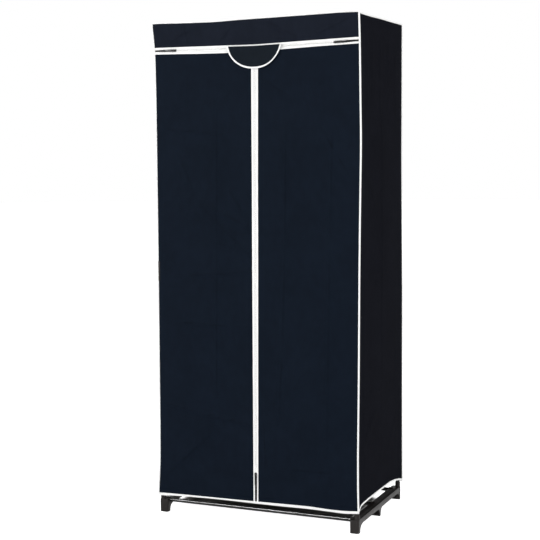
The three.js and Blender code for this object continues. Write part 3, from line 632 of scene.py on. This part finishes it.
def riding(body):
    return lambda piece, slot, *nodes: place_on(piece, body, slot, *nodes)


def hanging(side):
    return lambda piece, slot, *nodes: hinged(piece, side, slot, *nodes)


def grid(columns, rows):
    across, up = (np.linspace(0, 1, int(count * DETAIL) + 1) for count in (columns, rows))
    return np.meshgrid(across, up)


def mixed(a, b, share):
    return a + (b - a) * share


def top_z(face, along):
    return SEAM_Z + eased(along, TOPS[face], TOP_BLUR)


# Side and back panels with their hems
def hung_panel(face, name, hem, folds, seed, rows, cloth):
    half = HALF_W if FACES[face][1] else HALF_D
    u, v = grid(90, rows)
    along = mixed(-half + EDGE, half - EDGE, u)
    z = mixed(hem(along) + CLOTH_ABOVE_HEM, top_z(face, along) - EDGE, v)
    out = relief(u, v, along, z, folds, SIDE_BELLY, seed)
    panel_crease_shade = painted_crease_shade(along, z, folds, SIDE_CREASE_SHADE_LINE) if folds else None
    panel = cloth_panel(name, wall(face, along, z, out), OUTWARD[face], cloth, panel_crease_shade)
    place_on(panel, "frame", "cover_cloth", f"cover_{face}")
    along = np.linspace(-half + 3, half - 3, 90)
    path = wall(face, along, hem(along))
    section = folded(0, HEM_BINDING, HEM_HALF)
    trim = bar(f"{name}_binding", path, (0, 0, 1), OUTWARD[face], section, TRIM)
    place_on(trim, "frame", "white_binding", f"hem_{face}")
    sewn = path + OUTWARD[face] * HEM_HALF + (0, 0, HEM_BINDING - HEM_STITCH_INSET)
    row = stitches(f"{name}_stitches", sewn, OUTWARD[face])
    place_on(row, "frame", "white_binding")
    tall = (SEAM_Z - hem(0.0)) * MM


def back_hem(x):
    return HEM_BACK + 0 * np.asarray(x)


hung_panel("left", "side_left_cloth", side_hem, SIDE_FOLDS, 3, 200, SIDE_CLOTH_PAINTED_SHADE)
hung_panel("right", "side_right_cloth", side_hem, SIDE_FOLDS, 4, 200, SIDE_CLOTH_PAINTED_SHADE)
hung_panel("back", "back_cloth", back_hem, (), 5, 150, FRONT_CLOTH)

# Piping: a ring round the top, and a cord down each corner
ring = []
for face, way in (("front", 1), ("right", 1), ("back", -1), ("left", -1)):
    half = HALF_W if FACES[face][1] else HALF_D
    along = way * np.linspace(-half + 4, half - 4, 60)
    z = top_z(face, along)
    ring.append(wall(face, along, z, PLANE))
ring_piping = rope("top_piping", np.concatenate(ring), (0, 0, 1), closed=True)
place_on(ring_piping, "frame", "white_binding",
         *[f"top_piping_{each}" for each in ("front", "rear", "left", "right")])

for side, side_name in SIDES:
    for end, end_name in ((-1, "front"), (1, "rear")):
        low = HEM_ENDS[side] if end < 0 else HEM_BACK
        between = np.linspace(low + 2.5, SEAM_Z - 2, 110)
        z = np.concatenate([[low, low + 0.9], between, [SEAM_Z - 1, SEAM_Z]])
        path = np.stack([*seam(side, end, z), z], -1)
        node = f"corner_piping_{end_name}_{side_name}"
        place_on(rope(f"{node}_cord", path, (0, 1, 0)), "frame", "white_binding", node)

# Top: hung between the four runs of the ring, with a sag in the middle
def ring_run(face, share):
    half = (HALF_W if FACES[face][1] else HALF_D) - 1
    along = mixed(-half, half, share)
    return wall(face, along, top_z(face, along), PLANE - EDGE)


u, v = grid(80, 56)
front_run, back_run = ring_run("front", u), ring_run("back", u)
left_run, right_run = ring_run("left", v), ring_run("right", v)
corner = {(side, end): ring_run("front" if end < 0 else "back", np.array(float(side > 0)))
          for side in (-1, 1) for end in (-1, 1)}
su, sv = u[..., None], v[..., None]
flat_mix = ((1 - su) * (1 - sv) * corner[-1, -1] + su * (1 - sv) * corner[1, -1]
            + (1 - su) * sv * corner[-1, 1] + su * sv * corner[1, 1])
top = (1 - sv) * front_run + sv * back_run + (1 - su) * left_run + su * right_run - flat_mix
bow = np.sin(math.pi * u) * np.sin(math.pi * v)
swell = waves(top[..., 0], top[..., 1], 8, *TOP_SWELL)
top[..., 2] -= TOP_SAG * bow ** 2 + swell * np.sqrt(bow)
top_cloth = cloth_panel("top_cloth", top, (0, 0, 1), FRONT_CLOTH)
place_on(top_cloth, "frame", "cover_cloth", "cover_top")

# Valance above the zips
u, v = grid(180, 24)
x = mixed(-HALF_W + EDGE, HALF_W - EDGE, u)
z = mixed(zip_level(x) + 7, top_z("front", x) - EDGE, v)
out = relief(u, v, x, z, VALANCE_FOLDS, VALANCE_BELLY, 6)
valance = cloth_panel("valance_cloth", wall("front", x, z, out), OUTWARD["front"], VALANCE_CLOTH_PAINTED_LIGHT,
                      painted_crease_shade(x, z, VALANCE_FOLDS))
place_on(valance, "frame", "cover_cloth", "cover_valance")


# Zips
def slot_half(beyond, length, narrow=SLOT_NARROW):
    """Half the opening between the rows of teeth: it closes under the slider, at its inner end"""
    return np.interp(beyond, [2, 12, length], [-0.35, SLOT_WIDE, narrow])


def zip_side(name, path, across, opening, band, start, attach, node):
    """Binding, tape, teeth and stitches along one side of a zip; across points away from the zip"""
    front = np.array((0, -1.0, 0))
    across = np.array(across, float)
    low = np.maximum(band - BINDING, opening - 0.1)
    trim = bar(f"{name}_binding", path, across, front, folded(low, band), TRIM)
    edge = opening + TAPE_BEGIN
    inner = np.maximum(low + TAPE_UNDER, edge + TAPE_LEAST)
    section = np.stack([
        np.stack([edge, 0 * edge - TAPE_HALF], -1), np.stack([inner, 0 * edge - TAPE_HALF], -1),
        np.stack([inner, 0 * edge + TAPE_HALF], -1), np.stack([edge, 0 * edge + TAPE_HALF], -1)], 1)
    tape = bar(f"{name}_woven_tape", path, across, front, section, TAPE)
    at, centres, way = spaced(path, TOOTH_PITCH, start)
    reach = np.interp(at, run_length(path, 0), opening)[:, None] + TOOTH_REACH
    teeth = beads(f"{name}_teeth", centres + across * reach, across, way, TOOTH, COIL)
    sewn = path + across * (band - STITCH_INSET)[:, None] + front * BINDING_HALF
    row = stitches(f"{name}_stitches", sewn, front)
    attach(trim, "white_binding", node)
    attach(tape, "zip_tape")
    attach(teeth, "zip_tape")
    attach(row, "white_binding")
    return trim, tape, teeth, row


def level_zip(name, side, gap, up, band, start, attach, node):
    """One side of a level zip, from a gap beside the place where the zips meet to the corner"""
    x = np.linspace(ZIP_X + side * gap, side * (HALF_W - TRIM_END), 220)
    opening = slot_half(side * x - SLOT_X[side], HALF_W - 3 - SLOT_X[side])
    return zip_side(name, wall("front", x, zip_level(x)), (0, 0, up), opening,
                    eased(x, band, BAND_BLUR), start, attach, node)


valance_trims = []
for side, side_name in SIDES:
    valance_trims += level_zip(f"valance_{side_name}", side, 0.1, 1, BAND_UP, 0,
                               riding("frame"), f"zip_tape_valance_{side_name}")
    level_zip(f"door_{side_name}_top", side, 1.0, -1, BAND_DOWN, 0.5,
                                 hanging(side), f"door_{side_name}_top_tape")

# Doors
for side, side_name in SIDES:
    body = f"door_{side_name}"
    u, v = grid(110, 250)
    z = mixed(HEM_MIDDLE, ZIP_Z, v)
    inner = zip_middle(z) + side * (eased(z, BAND_MIDDLE, UPRIGHT_BLUR) - 3.5)
    x = mixed(side * (HALF_W - EDGE), inner, u)
    z = mixed(front_hem(x) + CLOTH_ABOVE_HEM, zip_level(x) - 8, v)
    out = relief(u, v, x, z, FRONT_FOLDS, BELLY, 10 + side)
    panel = cloth_panel(f"{body}_cloth", wall("front", x, z, out), OUTWARD["front"], FRONT_CLOTH,
                        painted_crease_shade(x, z, FRONT_FOLDS))
    hinged(panel, side, "cover_cloth", f"{body}_panel")

    hem_end = zip_middle(HEM_MIDDLE) + side * 0.4
    x = np.linspace(side * (HALF_W - TRIM_END), hem_end, 90)
    path = wall("front", x, front_hem(x) + FRONT_HEM_LIFT)
    wide = eased(x, FRONT_HEM_BINDING, FRONT_HEM_BLUR)
    trim = bar(f"{body}_hem_binding", path, (0, 0, 1), OUTWARD["front"],
               folded(0 * wide, wide, HEM_HALF), TRIM)
    hinged(trim, side, "white_binding", f"{body}_hem")
    sewn = path + np.stack([0 * wide, 0 * wide - HEM_HALF, wide - HEM_STITCH_INSET], -1)
    row = stitches(f"{body}_hem_stitches", sewn, OUTWARD["front"])
    hinged(row, side, "white_binding")

    top_end = float(zip_level(ZIP_X)) - 9.5
    z = np.concatenate([np.linspace(HEM_MIDDLE + 5, 180, 40), np.linspace(188, top_end, 160)])
    opening = slot_half(SLOT_Z - z, SLOT_Z - HEM_MIDDLE, SLOT_FOOT)
    upright = zip_side(f"{body}_middle", wall("front", zip_middle(z), z), (side, 0, 0), opening,
                       eased(z, BAND_MIDDLE, UPRIGHT_BLUR), 0.25 + side * 0.25,
                       riding(body), f"{body}_zip_tape")

# Sliders and pulls
for name in ("left", "right", "centre"):
    for kind in ("slider", "pull"):
        node = f"{kind}_{name}"
        part = bevelled(node, HARDWARE_ROUNDING, ENAMEL, f"{node}_enamel")
        place_on(part, node, "zip_metal", node)


# Flap
FLAP_RADIUS = (FLAP_WIDTH ** 2 / 4 + FLAP_DROP ** 2) / (2 * FLAP_DROP)
FLAP_TURN = math.acos(1 - FLAP_DROP / FLAP_RADIUS)


def flap_outline(u, reach):
    """Points of the flap's round edge, moved outwards by a reach"""
    turn = FLAP_TURN * (2 * u - 1)
    out = FLAP_RADIUS + eased(u, FLAP_SWELL, FLAP_BLUR) + reach
    middle = ZIP_Z + FLAP_RISE - FLAP_DROP + FLAP_RADIUS
    return ZIP_X + out * np.sin(turn), middle - out * np.cos(turn)


def flap_top(x):
    return zip_level(x) + FLAP_ROOT


def flap_y(x, z):
    """The flap bulges out at once below its seam, so that a slider passes behind it"""
    below = np.clip((flap_top(x) - z) / FLAP_SHOULDER, 0, 1)
    ease = np.sqrt(np.clip(1 - (1 - below) ** 2, 0, 1))
    low = np.clip((ZIP_Z - z) / FLAP_DROP, 0, 1)
    bulge = (FLAP_LIFT + FLAP_BOW * low * (1 - low)) * ease
    return FLAP_Y - bulge - waves(x, z, 12, *FLAP_RIPPLE) * low


def flap_points(x, z, out=0.0):
    return np.stack([x, flap_y(x, z) - out, z], -1)


u, v = grid(90, 44)
x, z = flap_outline(u, -FLAP_INSET)
z = mixed(z, flap_top(x), 1 - (1 - v) ** 2)
flap_cloth = cloth_panel("flap_cloth", flap_points(x, z), (0, -1, 0), FLAP_CLOTH_PAINTED_LIGHT)

# Its binding runs up to the seam at both ends, in a few steps more
t = np.linspace(0, 1, 120)
wide = eased(t, FLAP_BINDING, FLAP_BLUR)
x, z = flap_outline(t, 0)
inward = unit(np.stack(flap_outline(t, -wide), -1) - np.stack([x, z], -1))
steps = 5
rise = np.linspace(0, 1, steps + 1)
z = np.concatenate([mixed(flap_top(x[0]), z[0], rise[:-1]), z,
                    mixed(z[-1], flap_top(x[-1]), rise[1:])])
x, wide = (np.concatenate([np.full(steps, each[0]), each, np.full(steps, each[-1])])
           for each in (x, wide))
inward = np.concatenate([np.tile(inward[:1], (steps, 1)), inward, np.tile(inward[-1:], (steps, 1))])
inward = np.stack([inward[:, 0], 0 * x, inward[:, 1]], -1)
flap_trim = bar("flap_cloth_binding", flap_points(x, z), inward, (0, -1, 0),
                folded(0 * wide, wide, FLAP_HALF), TRIM)
x, z = flap_outline(t, FLAP_INSET - eased(t, FLAP_BINDING, FLAP_BLUR))
flap_row = stitches("flap_cloth_stitches", flap_points(x, z, FLAP_HALF), (0, -1, 0))
for piece, slot, nodes in ((flap_cloth, "cover_cloth", ["flap_panel"]),
                           (flap_trim, "white_binding", ["flap_binding"]),
                           (flap_row, "white_binding", [])):
    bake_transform(piece)
    stand_for(nodes)


# Tube frame
def tube_piece(node):
    """A hollow tube with rolled ends where the solid of the same name is"""
    low, high = (np.array(each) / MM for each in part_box(node))
    size = high - low
    axis = int(np.argmax(size))
    middle = (low + high) / 2
    outer, inner = size.min() / 2, size.min() / 2 - TUBE_WALL
    half, roll = size[axis] / 2, TUBE_ROLL
    profile = [(inner, -half + roll), (inner + roll, -half), (outer - roll, -half),
               (outer, -half + roll), (outer, half - roll), (outer - roll, half),
               (inner + roll, half), (inner, half - roll)]
    turn = np.arange(TUBE_SIDES) * 2 * math.pi / TUBE_SIDES
    others = [k for k in range(3) if k != axis]
    across = np.zeros((TUBE_SIDES, 3))
    across[:, others[0]], across[:, others[1]] = np.cos(turn), np.sin(turn)
    way = np.zeros(3)
    way[axis] = 1
    path = np.broadcast_to(middle, (TUBE_SIDES, 3)).copy()
    return bar(f"{node}_tube", path, across, way, np.array(profile), STEEL, closed=True)


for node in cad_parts:
    if node.startswith(("base_tube", "top_tube", "hanging", "lower_up", "upper_up")):
        place_on(tube_piece(node), "frame", "frame_tube", node)
    elif node.startswith(("base_rail", "top_rail", "joiner")):
        rounding = RAIL_ROUNDING if node.startswith("base_rail") else MOULDING_ROUNDING
        piece = bevelled(node, rounding, PLASTIC, f"{node}_moulding")
        place_on(piece, "frame", "rail_plastic", node)


# Camera, as fitted to the photograph: place in metres, turn in degrees, focal length in pixels
CAMERA_PLACE, CAMERA_TURN = (1.58482, -3.82471, 1.16428), (23.0137, 5.1003, -0.38463)
FOCAL_PIXELS, PHOTO_PIXELS, SENSOR = 1253.14, 540, 36


def rotation(yaw, pitch, roll):
    yaw, pitch, roll = (math.radians(each) for each in (yaw, pitch, roll))
    forward = np.array([
        -math.sin(yaw) * math.cos(pitch), math.cos(yaw) * math.cos(pitch), -math.sin(pitch)])
    right = np.array([math.cos(yaw), math.sin(yaw), 0])
    up = np.cross(right, forward)
    right, up = (math.cos(roll) * right + math.sin(roll) * up,
                 math.cos(roll) * up - math.sin(roll) * right)
    return Matrix(np.stack([right, up, -forward], axis=1).tolist()).to_4x4()


camera_data = bpy.data.cameras.new("camera")
camera_data.sensor_width = SENSOR
camera_data.lens = FOCAL_PIXELS * SENSOR / PHOTO_PIXELS
camera_data.clip_start, camera_data.clip_end = 0.05, 200
camera = bpy.data.objects.new("camera", camera_data)
camera.matrix_world = Matrix.Translation(CAMERA_PLACE) @ rotation(*CAMERA_TURN)
bpy.context.collection.objects.link(camera)
scene = bpy.context.scene
scene.camera = camera
scene.view_settings.view_transform = "Standard"

# The studio: white wherever it is seen or mirrored, a little darker as a light
world = bpy.data.worlds.new("studio")
scene.world = world
world.use_nodes = True
tree = world.node_tree
lit = tree.nodes["Background"]
lit.inputs["Color"].default_value = (1, 1, 1, 1)
lit.inputs["Strength"].default_value = 0.8
seen = add(tree, "Background", {"Color": (1, 1, 1, 1), "Strength": 1.0})
path_info = add(tree, "LightPath")
direct = calc(tree, "MAXIMUM", path_info.outputs["Is Camera Ray"], path_info.outputs["Is Glossy Ray"])
direct = calc(tree, "MAXIMUM", direct, path_info.outputs["Is Transmission Ray"])
both = add(tree, "MixShader", {0: direct, 1: lit.outputs[0], 2: seen.outputs[0]})
tree.links.new(both.outputs[0], tree.nodes["World Output"].inputs["Surface"])


def lamp(name, place, target, size, power):
    """A rectangular lamp; place, target and size in metres, power in watts"""
    data = bpy.data.lights.new(name, "AREA")
    data.shape = "RECTANGLE"
    data.size, data.size_y = size
    data.energy = power
    made = bpy.data.objects.new(name, data)
    bpy.context.collection.objects.link(made)
    away = Vector(place) - Vector(target)
    turned = away.to_track_quat("Z", "Y").to_matrix().to_4x4()
    made.matrix_world = Matrix.Translation(place) @ turned
    return made


lamp("key", (-3.2, -4.0, 2.6), (0, 0, 0.8), (1.9, 1.1), 86)
# The long light that draws a line along the front tube: highlights only
lamp("strip", (-1.9, -4.3, 3.62), (-1.9, 0, 0.9), (2.4, 0.4), 1200).visible_diffuse = False
lamp("fill", (4.2, -2.2, 1.7), (0, 0, 0.8), (2.4, 2.4), 56)

# Floor: white, but for a painted shadow of the wardrobe's shade, where its colour is dark and its glow
# is taken away. That is a patch with soft edges, in metres: its middle and half width, its front edge,
# its rear edge, and the edge that cuts off its right rear corner. The last two have how fast they fade.
FLOOR_RADIUS, FLOOR_SIDES = 30, 96
SHADE_MIDDLE, SHADE_HALF, SHADE_FRONT = -0.037, 0.307, -0.07
SHADE_REAR, SHADE_REAR_FADE, SHADE_CORNER, SHADE_CORNER_FADE = 0.31, 0.4, 0.45, 0.7
SHADE_IN, SHADE_OUT, FLOOR_GLOW = -0.01, 0.02, 0.97

mesh = bpy.data.meshes.new("floor")
turn = np.linspace(0, 2 * math.pi, FLOOR_SIDES, endpoint=False)
rim = [(FLOOR_RADIUS * math.cos(t), FLOOR_RADIUS * math.sin(t), 0) for t in turn]
mesh.from_pydata(rim, [], [list(range(FLOOR_SIDES))])
floor = bpy.data.objects.new("floor", mesh)
bpy.context.collection.objects.link(floor)
made, tree, shader, where = new_material("studio_floor", on_cloth=False)
shader.inputs["Roughness"].default_value = 0.9
shader.inputs["Specular IOR Level"].default_value = 0.1
shader.inputs["Emission Color"].default_value = (1, 1, 1, 1)
grain = noise(tree, where, 60, 3)
split = add(tree, "SeparateXYZ", {"Vector": where})
x, y = split.outputs[0], split.outputs[1]
beside = calc(tree, "ABSOLUTE", calc(tree, "ADD", x, -SHADE_MIDDLE))
beside = calc(tree, "SUBTRACT", beside, SHADE_HALF)
before = calc(tree, "SUBTRACT", SHADE_FRONT, y)
behind = calc(tree, "MULTIPLY", calc(tree, "SUBTRACT", y, SHADE_REAR), SHADE_REAR_FADE)
diagonal = calc(tree, "SUBTRACT", calc(tree, "ADD", x, y), SHADE_CORNER)
cut = calc(tree, "MULTIPLY", diagonal, SHADE_CORNER_FADE)
away = calc(tree, "MAXIMUM", calc(tree, "MAXIMUM", beside, before), calc(tree, "MAXIMUM", behind, cut))
clear = spread(tree, away, SHADE_IN, SHADE_OUT)
info = add(tree, "LightPath")
pale = blended(tree, grain, (0.9, 0.9, 0.9), (0.94, 0.94, 0.94))
# Painted shadow: inside the patch the floor's colour is dark, and below its glow is taken away too
tree.links.new(blended(tree, clear, (0.12, 0.115, 0.11), pale), shader.inputs["Base Color"])
seen = calc(tree, "MAXIMUM", info.outputs["Is Camera Ray"], info.outputs["Is Glossy Ray"])
glow = calc(tree, "MULTIPLY", calc(tree, "MULTIPLY", seen, clear), FLOOR_GLOW)
tree.links.new(glow, shader.inputs["Emission Strength"])
mesh.materials.append(made)
